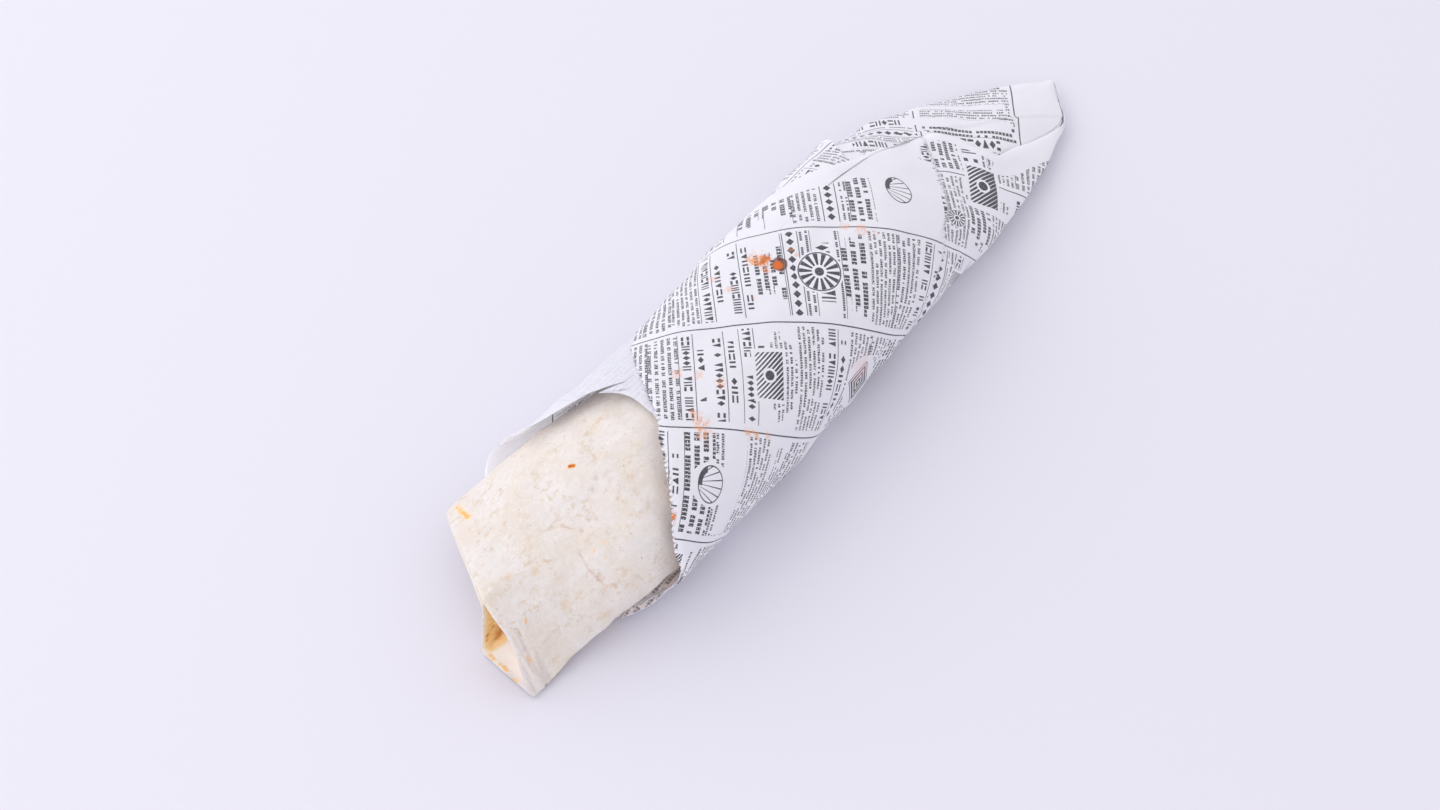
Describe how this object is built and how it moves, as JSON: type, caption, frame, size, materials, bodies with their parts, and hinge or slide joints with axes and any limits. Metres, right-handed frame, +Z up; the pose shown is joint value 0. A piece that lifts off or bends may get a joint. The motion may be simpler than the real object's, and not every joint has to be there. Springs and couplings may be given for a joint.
{
  "type": "wrapped burrito",
  "caption": "Rolled flour tortilla with a pinched open end, held in a slanting wrap of printed greaseproof paper folded flat behind it.",
  "frame": {"origin": "centre of the bounding box, on the surface the burrito lies on", "axes": "+X along the roll from the open tortilla end to the tip of the paper tail, +Y towards the side the tail leans to, +Z up"},
  "size_m": [0.274, 0.0782, 0.0437],
  "materials": {
    "flour_tortilla": "floury, warm white with pale toasted mottling",
    "greaseproof_paper": "thin, satin, cool white, printed dark grey"
  },
  "bodies": {
    "root": {"tortilla": "flour_tortilla", "paper": "greaseproof_paper"}
  },
  "joints": []
}
